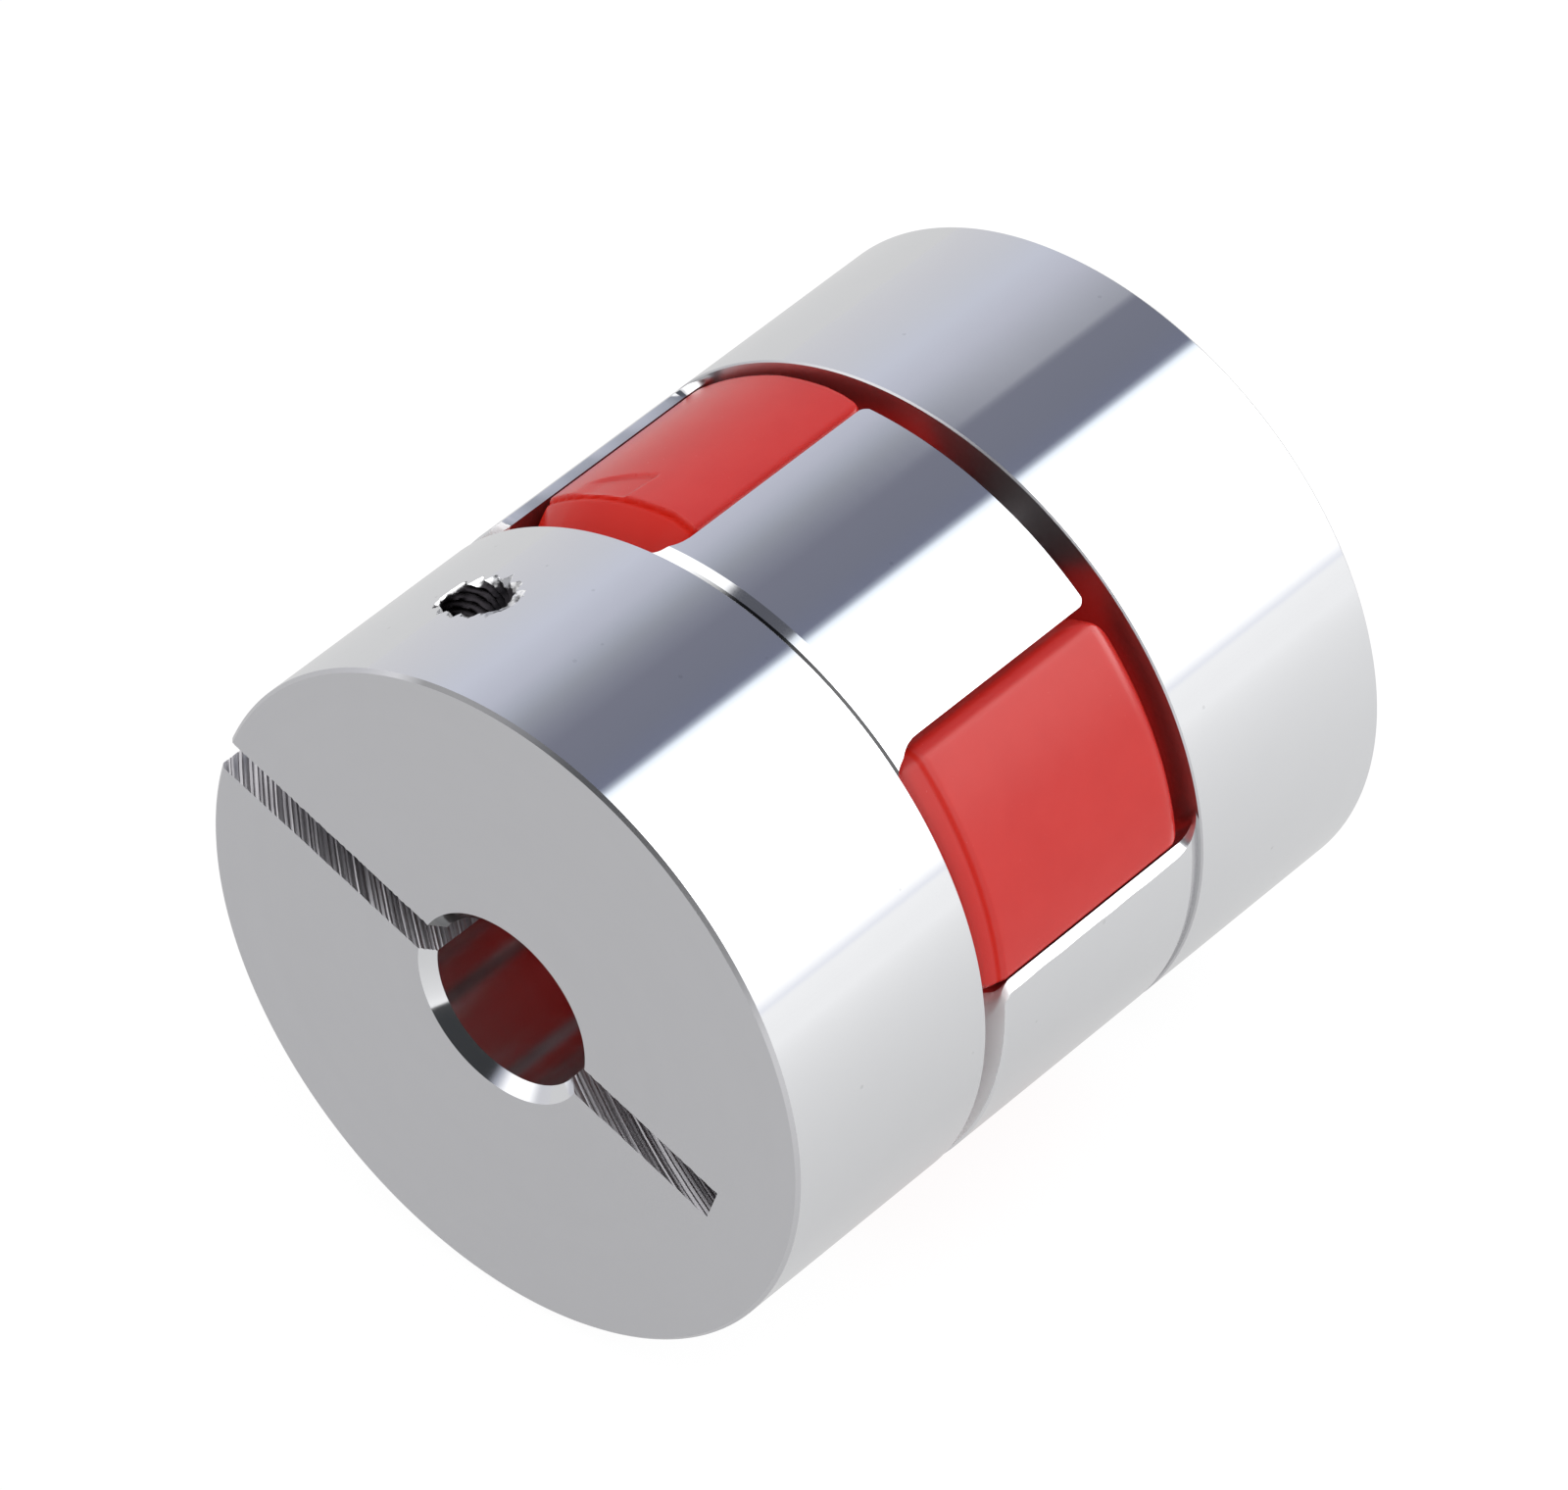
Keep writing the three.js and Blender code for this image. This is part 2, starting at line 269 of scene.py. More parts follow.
M_HOLE = aluminium("aluminium_tapped_hole", 0.30, 0.1, "grain", 0.000003, colour=(0.75, 0.75, 0.76), painted_shade=True)
# Painted shade: M_EDGE, M_CORNER and M_LEAD darken set stretches of the front hub's broken edges, root corner and bore
# chamfer, standing in for dark reflections and the shade in the root corner. M_EDGE's base is also darker than the
# plain aluminium, so the broken edges read mid-grey.
M_EDGE = aluminium("aluminium_broken_edge", 0.30, 0.08, "grain", 0.0000015, colour=(0.66, 0.66, 0.68),
                   painted_shade_patch=(-20, -14, 32, 64, 0.42, -30, -16))
M_CORNER = aluminium("aluminium_tool_corner", 0.12, 0.04, "grain", 0.000001, painted_shade_patch=(-1, 9, 120, 130, 0.07, -8, 0))
M_LEAD = aluminium("aluminium_bore_chamfer", 0.09, 0.04, "around", 0.0000002, painted_shade_patch=(-80, -74, -38, -28, 0.22, -30, -16))
HUB_MATERIALS = [M_OD, M_FACE, M_CONE, M_BORE, M_MILL, M_SLIT, M_HOLE, M_EDGE, M_TIP, M_CORNER, M_LEAD]
Z_OD, Z_FACE, Z_CONE, Z_BORE, Z_MILL, Z_SLIT, Z_HOLE, Z_EDGE, Z_TIP, Z_CORNER, Z_LEAD = range(11)


# ------------------------------------------------------------------ mesh helpers, millimetres
def volume(verts, faces):
    v = np.asarray(verts)
    total = 0.0
    for f in faces:
        a = v[f[0]]
        for i in range(1, len(f) - 1):
            total += np.dot(a, np.cross(v[f[i]], v[f[i + 1]]))
    return total


def build(name, verts, faces, zones, materials):
    if volume(verts, faces) < 0:
        faces = [tuple(reversed(f)) for f in faces]
    me = bpy.data.meshes.new(name)
    me.from_pydata([tuple(map(float, v)) for v in verts], [], faces)
    for m in materials:
        me.materials.append(m)
    me.polygons.foreach_set("material_index", np.asarray(zones, np.int32))
    me.update()
    ob = bpy.data.objects.new(name, me)
    bpy.context.scene.collection.objects.link(ob)
    return ob


def rings_mesh(rings, closed, zone_of):
    """Rings of the same point count joined in order. closed: the last joins the first; else both ends are capped."""
    k, n = len(rings), len(rings[0])
    verts = np.concatenate(rings)
    faces, zones = [], []
    last = k if closed else k - 1
    for i in range(last):
        j = (i + 1) % k
        for a in range(n):
            b = (a + 1) % n
            faces.append((i * n + a, i * n + b, j * n + b, j * n + a))
            zones.append(zone_of(i, a))
    if not closed:
        faces.append(tuple(range(n - 1, -1, -1)))
        zones.append(zone_of("start", 0))
        faces.append(tuple(range((k - 1) * n, k * n)))
        zones.append(zone_of("end", 0))
    return verts, faces, zones


def lathe(name, profile, zones, segments, materials, closed=True):
    """profile: [x, r] points round a closed loop, turned about X. zones[i] belongs to the segment from point i."""
    t = np.arange(segments) * 2 * math.pi / segments
    rings = [np.stack([np.full(segments, x), -r * np.sin(t), r * np.cos(t)], 1) for x, r in profile]
    verts, faces, z = rings_mesh(rings, True, lambda i, a: zones[i])
    return build(name, verts, faces, z, materials)


def cut(base, tools, operation="DIFFERENCE"):
    for t in tools:
        m = base.modifiers.new("cut", "BOOLEAN")
        m.operation = operation
        m.solver = "MANIFOLD"
        m.object = t
        try:
            m.material_mode = "INDEX"
        except (AttributeError, TypeError):
            pass
    dg = bpy.context.evaluated_depsgraph_get()
    me = bpy.data.meshes.new_from_object(base.evaluated_get(dg), depsgraph=dg)
    for o in [base] + list(tools):
        old = o.data
        bpy.data.objects.remove(o)
        bpy.data.meshes.remove(old)
    return me


def ease(lo, hi, v):
    t = min(1.0, max(0.0, (v - lo) / (hi - lo)))
    return t * t * (3 - 2 * t)


def flank_angle(r, circle):
    c = (r * r + POCKET_C ** 2 - circle * circle) / (2 * r * POCKET_C)
    return math.degrees(math.acos(max(-1.0, min(1.0, c))))


def polar(r, phi):
    return -r * math.sin(math.radians(phi)), r * math.cos(math.radians(phi))


def lumps(n, seed, smooth=1):
    """A 1-D line of random heights in -1..1, n long, a little smoothed."""
    r = np.random.RandomState(seed).uniform(-1, 1, n)
    for _ in range(smooth):
        r = np.convolve(np.pad(r, 1, mode="edge"), [0.25, 0.5, 0.25], "valid")
    return r


# ------------------------------------------------------------------ the hub, in its own frame
def pocket_tool(side, styles, tip_zone):
    """The space between the two jaws, with the root fillet at its floor and the rounding at the jaw tips. styles: for each of
    the two jaw edges, "bevel" for a hand-broken edge or how far back a plain edge stands at the outside, in mm."""
    root_x, root_d = 1.12, 0.66
    edge = R - 0.33
    wob = lumps(60, 71 + side, 2)
    xs = [BODY]
    xs += [BODY + root_x * (1 - math.cos(t)) for t in np.linspace(0, math.pi / 2, 11)[1:]]
    xs += [BODY + root_x + 0.05]
    xs += list(np.linspace(BODY + root_x + 0.05, TIP - 1.25, 30)[1:])
    xs += [TIP - 1.25 + 1.25 * math.sin(t) for t in np.linspace(0, math.pi / 2, 22)[1:]]
    xs += [TIP + 2.0]
    radii = [15.6, 15.3, 15.12, 15.04, 14.97, 14.9, 14.78, edge] + list(np.linspace(14.55, 13.85, 9)) + list(np.linspace(13.7, 6.35, 40))

    def edge_angle(style, n, x, r):
        d = 0.0
        if x < BODY + root_x:
            u = 1 - (x - BODY) / root_x
            d = -root_d * (1 - math.sqrt(max(0.0, 1 - u * u)))
        tip_r = 0.45 + (0.75 * ease(0.0, 1.1, R - r) if style == "bevel" else 0.0)
        if x > TIP - tip_r:
            u = min(1.0, (x - (TIP - tip_r)) / tip_r)
            d = tip_r * (1 - math.sqrt(max(0.0, 1 - u * u)))
        if style == "bevel":
            if r <= edge:
                return 45 - flank_angle(r, POCKET_R + d)
            slope = 0.10 + (0.81 + 0.16 * wob[n % 60]) * ease(BODY + 0.5, BODY + root_x + 0.35, x)
            return 45 - flank_angle(edge, POCKET_R + d) - math.degrees(slope * (r - edge) / R)
        back = math.degrees(style / R) * (0.5 + 0.5 * ease(BODY, BODY + root_x + 0.5, x)) * ease(13.2, 14.4, r)
        return 45 - flank_angle(min(r, R + 0.05), POCKET_R + d) - back

    rings = []
    for n, x in enumerate(xs):
        ring = []
        for k, style in enumerate(styles):
            pts = [(r, edge_angle(style, n, x, r)) for r in radii]
            outline = [(19.0, pts[0][1] - 1.0)] + pts + [(3.2, 62)]
            if k == 0:
                ring += [polar(r, a + side) for r, a in outline]
            else:
                ring += [polar(r, 180 - a + side) for r, a in reversed(outline)]
        ring += [polar(24, 120 + side), polar(24, 60 + side)]
        rings.append(np.array([(x, y, z) for y, z in ring]))
    size = len(radii) + 2
    tip = next(i for i, x in enumerate(xs) if x > TIP - 0.5)

    def zone(i, a):
        if not isinstance(i, int):
            return Z_MILL
        first, second = a < 8, 2 * size - 1 - 8 <= a < 2 * size - 1
        if i >= tip:
            return tip_zone
        if xs[i] > BODY + 0.9 and ((first and styles[0] == "bevel") or (second and styles[1] == "bevel")):
            return Z_CONE
        return Z_MILL
    verts, faces, zones = rings_mesh(rings, False, zone)
    return build("pocket%d" % side, verts, faces, zones, HUB_MATERIALS)


def slit_tool():
    """A slab through the bore. Its walls carry the curved ridges the saw left."""
    cx, cy = 5 + 0.793 * 40, 4 - 0.61 * 40
    rho = np.arange(25.0, 54.0, 0.05)
    beta = np.radians(np.linspace(118.0, 172.0, 28))
    n, m = len(rho), len(beta)
    walls = []
    for k, sign in enumerate((-1, 1)):
        r = np.random.RandomState(131 + k)
        knots, heights, up = [rho[0]], [0.0], 1
        while knots[-1] < rho[-1]:
            knots.append(knots[-1] + r.uniform(0.05, 0.13))
            heights.append(up * r.uniform(0.15, 1.0) * 0.042)
            up = -up
        line = np.interp(rho, knots, heights) + 0.010 * lumps(n, 151 + k, 0)
        swell = 0.03 * np.interp(rho, np.arange(24, 56, 1.4), r.uniform(-1, 1, len(np.arange(24, 56, 1.4))))
        along = 1 + 0.25 * lumps(m, 171 + k, 2)[None, :] + 0.0 * line[:, None]
        h = line[:, None] * along + swell[:, None]
        walls.append(np.stack([cx + rho[:, None] * np.cos(beta)[None, :], cy + rho[:, None] * np.sin(beta)[None, :],
                               sign * (SLIT_HALF + h)], -1).reshape(-1, 3))
    size = n * m
    faces = []
    for i in range(n - 1):
        for j in range(m - 1):
            a, b = i * m + j, (i + 1) * m + j
            faces.append((a, a + 1, b + 1, b))
            faces.append((size + a, size + b, size + b + 1, size + a + 1))

    def side(loop):
        for p, q in zip(loop, loop[1:]):
            faces.append((q, p, size + p, size + q))
    side([i * m for i in range(n)][::-1])
    side([i * m + m - 1 for i in range(n)])
    side(list(range(m)))
    side([(n - 1) * m + j for j in range(m)][::-1])
    slab = build("slab", np.concatenate(walls), faces, [Z_SLIT] * len(faces), HUB_MATERIALS)
    # the blind end, where the saw stopped
    x0, x1, y0, y1, z1 = -1.0, 12.0, SLIT_BLIND, 17.0, 1.2
    corners = [(x, y, z) for x in (x0, x1) for y in (y0, y1) for z in (-z1, z1)]
    box = build("limit", corners, [(0, 1, 3, 2), (4, 6, 7, 5), (0, 4, 5, 1), (2, 3, 7, 6), (0, 2, 6, 4), (1, 5, 7, 3)],
                [Z_SLIT] * 6, HUB_MATERIALS)
    me = cut(slab, [box], "INTERSECT")
    ob = bpy.data.objects.new("slit", me)
    bpy.context.scene.collection.objects.link(ob)
    return ob


def cross_tool(name, stations, segments, zone=Z_HOLE, radius=None):
    """A round cutter along Z at the clamp screw's place. stations: [z, r]; radius(theta, z, r) may vary it."""
    t = np.arange(segments) * 2 * math.pi / segments
    rings = []
    for z, r in stations:
        rr = np.full(segments, r) if radius is None else radius(t, z, r)
        rings.append(np.stack([SCREW_X + rr * np.cos(t), SCREW_Y + rr * np.sin(t), np.full(segments, z)], 1))
    verts, faces, zones = rings_mesh(rings, False, lambda i, a: zone)
    return build(name, verts, faces, zones, HUB_MATERIALS)


def thread_wave(t, z, inner, outer, flat=0.12):
    """Radius of a 60 degree thread: inner at the crest of the bore, outer at its root."""
    u = np.mod(z / PITCH - t / (2 * math.pi), 1.0)
    tri = 1 - np.abs(2 * u - 1)
    return inner + (outer - inner) * np.clip((tri - flat) / (1 - 2 * flat), 0, 1)


def hub_mesh(styles, tip_zone, step_zone):
    b = BORE_R
    profile = [
        ((0.0, b + 0.53), Z_LEAD), ((0.53, b), Z_BORE), ((BODY - 0.25, b), Z_CONE), ((BODY, b + 0.25), Z_MILL),
        ((BODY, JAW_IN), Z_MILL), ((TIP - 0.15, JAW_IN), Z_MILL), ((TIP, JAW_IN + 0.15), tip_zone),
        ((TIP, R - 0.09), Z_CONE), ((TIP - 0.09, R), Z_OD), ((BODY + 0.62, R), step_zone), ((BODY + 0.60, R - 0.008), step_zone),
        ((BODY + 0.50, R - 0.030), step_zone), ((BODY + 0.40, R - 0.062), step_zone), ((BODY + 0.29, R - 0.100), step_zone),
        ((BODY + 0.20, R - 0.129), Z_CORNER), ((BODY + 0.14, R - 0.146), Z_CORNER), ((BODY + 0.07, R - 0.168), Z_CORNER),
        ((BODY, R - 0.185), Z_MILL), ((BODY, R - 0.07), Z_EDGE), ((BODY - 0.07, R), Z_OD),
        ((0.15, R), Z_EDGE), ((0.0, R - 0.15), Z_FACE),
    ]
    base = lathe("hub", [p for p, _ in profile], [z for _, z in profile], 576, HUB_MATERIALS)
    tools = [pocket_tool(0, styles[:2], tip_zone), pocket_tool(180, styles[2:], tip_zone), slit_tool()]
    per_turn = 60
    zs = np.arange(0.0, 16.6, PITCH / 12)
    rough = np.random.RandomState(5).uniform(-1, 1, (len(zs), per_turn))
    rough = (rough + np.roll(rough, 1, 1) + np.roll(rough, 1, 0)) / 3
    at = {round(float(z), 6): i for i, z in enumerate(zs)}

    def tapped(t, z, r):
        w = thread_wave(t, z, 1.235, 1.55)
        edge = min(1.0, max(0.0, (z - 8.6) / 1.2))
        surface = np.sqrt(np.maximum(0.0, R * R - (SCREW_Y + w * np.sin(t)) ** 2))
        flare = np.clip((z - surface + 0.13) / 0.13, 0, 1.5)
        row = rough[at[round(float(z), 6)]]
        return w + edge * 0.055 * row + flare * (0.06 + 0.15 * np.maximum(row, -0.2))

    tools.append(cross_tool("tapped", [(float(z), 1.4) for z in zs], per_turn, radius=tapped))
    tools.append(cross_tool("clearance", [(SEAT - 0.6, 1.7), (0.3, 1.7)], 96))
    tools.append(cross_tool("counterbore", [(-17.0, 3.05), (SEAT, 3.05), (SEAT, 3.05)][:2], 128, zone=Z_MILL))
    me = cut(base, tools)
    return me


def finish_normals(me, rules, angle=32):
    """Splits shading at sharp edges, and gives the loops of named zones their exact surface normal."""
    me.set_sharp_from_angle(angle=math.radians(angle))
    nl, nv, npoly = len(me.loops), len(me.vertices), len(me.polygons)
    co = np.zeros(nv * 3); me.vertices.foreach_get("co", co); co = co.reshape(-1, 3)
    lv = np.zeros(nl, np.int32); me.loops.foreach_get("vertex_index", lv)
    start = np.zeros(npoly, np.int32); me.polygons.foreach_get("loop_start", start)
    total = np.zeros(npoly, np.int32); me.polygons.foreach_get("loop_total", total)
    mat = np.zeros(npoly, np.int32); me.polygons.foreach_get("material_index", mat)
    pn = np.zeros(npoly * 3); me.polygons.foreach_get("normal", pn); pn = pn.reshape(-1, 3)
    zone = np.repeat(mat, total)
    face_n = np.repeat(pn, total, axis=0)
    out = np.zeros((nl, 3))
    for zones, fn in rules:
        pick = np.isin(zone, zones)
        got, ok = fn(co[lv[pick]], face_n[pick])
        idx = np.nonzero(pick)[0][ok]
        out[idx] = got[ok]
    me.normals_split_custom_set(out.tolist())
    me.update()


def radial(p, fn):
    n = np.stack([np.zeros(len(p)), p[:, 1], p[:, 2]], 1)
    n /= np.maximum(np.linalg.norm(n, axis=1, keepdims=True), 1e-9)
    ok = (n * fn).sum(1) > 0.9
    return n, ok


def radial_in(p, fn):
    n, _ = radial(p, fn)
    n = -n
    return n, (n * fn).sum(1) > 0.9


def flat_x(p, fn):
    n = np.zeros((len(p), 3))
    n[:, 0] = np.sign(fn[:, 0])
    return n, np.abs(fn[:, 0]) > 0.999


def place(me, matrix, name):
    """A copy of a millimetre mesh put in the row frame, in metres."""
    m = me.copy()
    m.transform(MM @ matrix)
    m.name = name
    ob = bpy.data.objects.new(name, m)
    bpy.context.scene.collection.objects.link(ob)
    return ob


EDGES = {"driver": (0.90, "bevel", "bevel", 0.58), "driven": ("bevel", "bevel", "bevel", "bevel")}
for prefix, matrix, body in (("driver", DRIVER, "driver_side"), ("driven", DRIVEN, "driven_side")):
    # The driven hub's jaw tips take M_TIP (painted light) and its root relief the darker M_EDGE in place of the
    # polished M_CONE, which tones down a highlight (painted shade).
    hub = hub_mesh(EDGES[prefix], Z_MILL if prefix == "driver" else Z_TIP, Z_CONE if prefix == "driver" else Z_EDGE)
    finish_normals(hub, [([Z_OD], radial), ([Z_FACE], flat_x), ([Z_BORE], radial_in), ([Z_MILL], flat_x)])
    ob = place(hub, matrix, prefix + "_hub_machined")
    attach(ob, body)
    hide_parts(prefix + "_hub")


# ------------------------------------------------------------------ clamp screws
def steel(name):
    m, n, b, c = new_material(name)
    mott = n.noise(c["mm"], 1.6, 4.0, 0.6)
    fine = n.noise(c["mm"], 14.0, 3.0, 0.6)
    tint = n.mix(mott, grey((0.020, 0.020, 0.023)), grey((0.055, 0.053, 0.055)))
    geo = n.new("ShaderNodeNewGeometry")
    wear = n.ramp(geo.outputs["Pointiness"], [(0.52, 0.0), (0.60, 1.0)])
    tint = n.mix(n.math("MULTIPLY", wear, n.math("MULTIPLY", fine, 0.8)), tint, grey((0.30, 0.29, 0.28)))
    n.feed(b.inputs["Base Color"], tint)
    n.feed(b.inputs["Roughness"], n.math("ADD", 0.26, n.math("MULTIPLY", fine, 0.2)))
    b.inputs["Metallic"].default_value = 0.85
    n.link(n.bump(fine, 0.000004), b.inputs["Normal"])
    return m


M_STEEL = steel("screw_black_oxide")


def screw_mesh():
    """M3 socket cap screw along Z, seat at z = 0, head towards -Z."""
    seg = 120
    t = np.arange(seg) * 2 * math.pi / seg
    rings = []

    def ring(z, r):
        rr = np.full(seg, float(r)) if np.isscalar(r) else r
        rings.append(np.stack([rr * np.cos(t), rr * np.sin(t), np.full(seg, float(z))], 1))

    head_r, head_h = 2.75, 3.0
    ring(-head_h, 1.78)
    ring(-head_h, 2.42)
    for a in np.linspace(0, math.pi / 2, 6)[1:]:
        ring(-head_h + 0.24 * (1 - math.cos(a)), 2.42 + 0.24 * math.sin(a))
    for z in np.linspace(-head_h + 0.3, -0.35, 34):          # knurled side
        u = np.mod(t * 30 / (2 * math.pi) + z / 0.5, 1.0)
        v = np.mod(t * 30 / (2 * math.pi) - z / 0.5, 1.0)
        k = np.minimum(1 - np.abs(2 * u - 1), 1 - np.abs(2 * v - 1))
        fade = min(1.0, (z + head_h - 0.28) / 0.15, (-0.30 - z) / 0.15)
        ring(z, head_r - 0.085 + 0.085 * np.clip(k * 2.2, 0, 1) * max(0.0, fade))
    ring(-0.25, head_r - 0.06)
    ring(-0.06, head_r - 0.06)
    ring(0.0, head_r - 0.12)
    ring(0.0, 1.62)
    ring(0.10, 1.47)
    ring(0.30, 1.42)
    zt = list(np.arange(0.45, 12.0 - 0.05, PITCH / 12))
    base_z = SEAT - 0.1                                       # seat gap, so the thread keeps step with the hub's
    for z in zt:
        w = thread_wave(t, z + base_z, 1.20, 1.50, 0.14)
        start = min(1.0, (z - 0.35) / 0.35)
        end = min(1.0, (12.0 - z) / 0.55)
        w = 1.20 + (w - 1.20) * max(0.0, min(start, 1.0))
        ring(z, np.minimum(w, 1.02 + 0.48 * end))
    ring(12.0, 1.0)
    verts, faces, zones = rings_mesh(rings, False, lambda i, a: 0)
    body = build("screw", verts, faces, zones, [M_STEEL])
    # hexagon socket with a lead-in and a drill point
    hexr = 1.25 / math.cos(math.pi / 6) + 0.015
    n = 48
    ht = np.arange(n) * 2 * math.pi / n
    hexa = (1.265) / np.cos(np.mod(ht, math.pi / 3) - math.pi / 6)
    tool = []
    for z, r in ((-head_h - 0.5, np.full(n, 1.52)), (-head_h - 0.001, np.full(n, 1.52)),
                 (-head_h + 0.14, np.minimum(hexa, 1.40)), (-head_h + 0.30, hexa), (-head_h + 1.35, hexa),
                 (-head_h + 1.36, np.full(n, 1.20)), (-head_h + 1.95, np.full(n, 0.12))):
        tool.append(np.stack([r * np.cos(ht), r * np.sin(ht), np.full(n, z)], 1))
    tv, tf, tz = rings_mesh(tool, False, lambda i, a: 0)
    me = cut(body, [build("socket", tv, tf, tz, [M_STEEL])])
    me.set_sharp_from_angle(angle=math.radians(35))
    return me


screw = screw_mesh()
for prefix, matrix, body in (("driver", DRIVER, "driver_screw"), ("driven", DRIVEN, "driven_screw")):
    ob = place(screw, matrix @ Matrix.Translation((SCREW_X, SCREW_Y, SEAT - 0.1)), prefix + "_clamp_screw_threaded")
    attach(ob, body)
    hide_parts(prefix + "_clamp_screw")


# ------------------------------------------------------------------ spider
def star_material():
    m, n, b, c = new_material("spider_polyurethane_red")
    cloud = n.noise(c["mm"], 0.35, 4.0, 0.55)
    fine = n.noise(c["mm"], 9.0, 3.0, 0.6)
    tint = n.mix(cloud, grey((0.465, 0.016, 0.013)), grey((0.53, 0.027, 0.022)))
    phi = n.math("MULTIPLY", c["a"], -180 / math.pi)

    def smooth(v, lo, hi):
        node = n.new("ShaderNodeMapRange")
        node.interpolation_type = "SMOOTHSTEP"
        n.feed(node.inputs["Value"], v)
        node.inputs["From Min"].default_value = lo
        node.inputs["From Max"].default_value = hi
        return node.outputs["Result"]

    # painted shade at the moulding crease near the front of each lobe and on the band in front of it: a clear, deeper,
    # darker red standing in for the shade there, and hardly glossy
    far = n.math("SUBTRACT", n.math("FRACT", n.math("DIVIDE", n.math("ADD", phi, 180 + 26 + 45 + 90), 90.0)), 0.5)   # -0.5..0.5
    lobe1 = n.math("MULTIPLY", smooth(phi, -52, -48), n.math("SUBTRACT", 1.0, smooth(phi, -3, 1)))
    t = n.math("ADD", far, 0.5)
    curve = n.ramp(t, [((45 - 22) / 90, 2.70 / 6), ((45 - 20) / 90, 2.78 / 6), ((45 - 10) / 90, 3.18 / 6), ((45 + 5) / 90, 3.52 / 6),
                       ((45 + 14) / 90, 3.73 / 6), ((45 + 19) / 90, 4.1 / 6)])
    line = n.mix(lobe1, n.math("SUBTRACT", 4.97, n.math("MULTIPLY", far, -0.2)), n.math("MULTIPLY", curve, 6.0), kind="FLOAT")
    d = n.math("SUBTRACT", n.math("MULTIPLY", c["x"], -1.0), line)         # forward of the crease
    crisp = n.math("MULTIPLY", smooth(d, -0.05, 0.06), n.math("SUBTRACT", 1.0, smooth(d, 0.12, 0.30)))
    soft = n.math("MULTIPLY", smooth(d, -0.12, 0.10), n.math("SUBTRACT", 1.0, smooth(d, 0.18, 0.62)))
    groove = n.mix(lobe1, crisp, soft, kind="FLOAT")
    band = n.math("MULTIPLY", smooth(d, 0.0, 0.15), n.mix(lobe1, 0.12, 0.75, kind="FLOAT"))
    groove = n.math("MULTIPLY", groove, n.mix(lobe1, 0.9, 1.0, kind="FLOAT"))
    painted_shade = n.math("MULTIPLY", n.math("MAXIMUM", groove, band), smooth(c["r"], 12.6, 13.6))
    tint = n.mix(painted_shade, tint, grey((0.50, 0.012, 0.005)))
    # painted shade: the spider's inner part round its hole is darkened
    inner = n.math("SUBTRACT", 1.0, smooth(c["r"], 5.4, 7.2))
    tint = n.mix(n.math("MULTIPLY", inner, 0.75), tint, grey((0.19, 0.006, 0.006)))
    n.feed(b.inputs["Base Color"], tint)
    n.feed(b.inputs["Specular IOR Level"], n.math("SUBTRACT", n.mix(lobe1, 0.47, 0.36, kind="FLOAT"), n.math("MULTIPLY", painted_shade, 0.33)))
    b.inputs["Subsurface Weight"].default_value = 0.35
    b.inputs["Subsurface Radius"].default_value = (1.0, 0.18, 0.10)
    b.inputs["Subsurface Scale"].default_value = 0.0012
    n.feed(b.inputs["Roughness"], n.math("ADD", 0.20, n.math("MULTIPLY", fine, 0.10)))
    b.inputs["IOR"].default_value = 1.47
    # light that has come through the translucent lobes shows on the inner surfaces
    b.inputs["Emission Color"].default_value = (1.0, 0.012, 0.008, 1.0)
    ends = n.math("MULTIPLY", n.math("SUBTRACT", smooth(c["r"], 7.5, 9.0), smooth(c["r"], 12.6, 13.6)), 0.20)
    n.feed(b.inputs["Emission Strength"], n.math("ADD", n.math("MULTIPLY", inner, 0.085), ends))
    grain = n.noise(c["mm"], 16.0, 3.0, 0.65)
    n.link(n.bump(grain, 0.0000025), b.inputs["Normal"])
    return m


M_STAR = star_material()


# Each lobe: front end, rear end by angle, corner radii at the rear (towards -, towards +), rim radius at the rear, and the
# place of the moulded crease near its front, by angle. Angles are degrees from the lobe's centre line.
PLAIN = dict(front=-5.95, rear=([0], [5.95]), corner=(0.9, 0.9), rim=0.5, crease=([0], [-5.0]), slope=0.28, mark=False,
             fillet=(0.6, 0.6), flank=(LOBE_FLANK, LOBE_FLANK), nose=0.8, sides=(90, 90),
             spread=(0, 0))
LOBES = {
    0: dict(PLAIN, front=-6.1, corner=(2.3, 0.8), crease=([-18, 0, 18], [-4.82, -4.95, -5.0]), fillet=(0.3, 0.35),
            flank=(LOBE_FLANK, LOBE_FLANK + 0.13), rim=0.9, sides=(18.9, 90), spread=(1.7, 0)),
    1: PLAIN,
    2: PLAIN,
    3: dict(PLAIN, front=-6.1, rear=([-21, -12, 0, 12, 16, 21], [6.05, 6.15, 6.25, 6.05, 5.9, 5.6]), corner=(0.7, 1.0), rim=0.3,
            crease=([-20, -10, 5, 14, 19], [-2.78, -3.18, -3.52, -3.73, -4.1]), slope=0.40, mark=True,
            fillet=(0.5, 0.3), nose=0.35, sides=(90, 18.9), spread=(0, 0.4)),
}


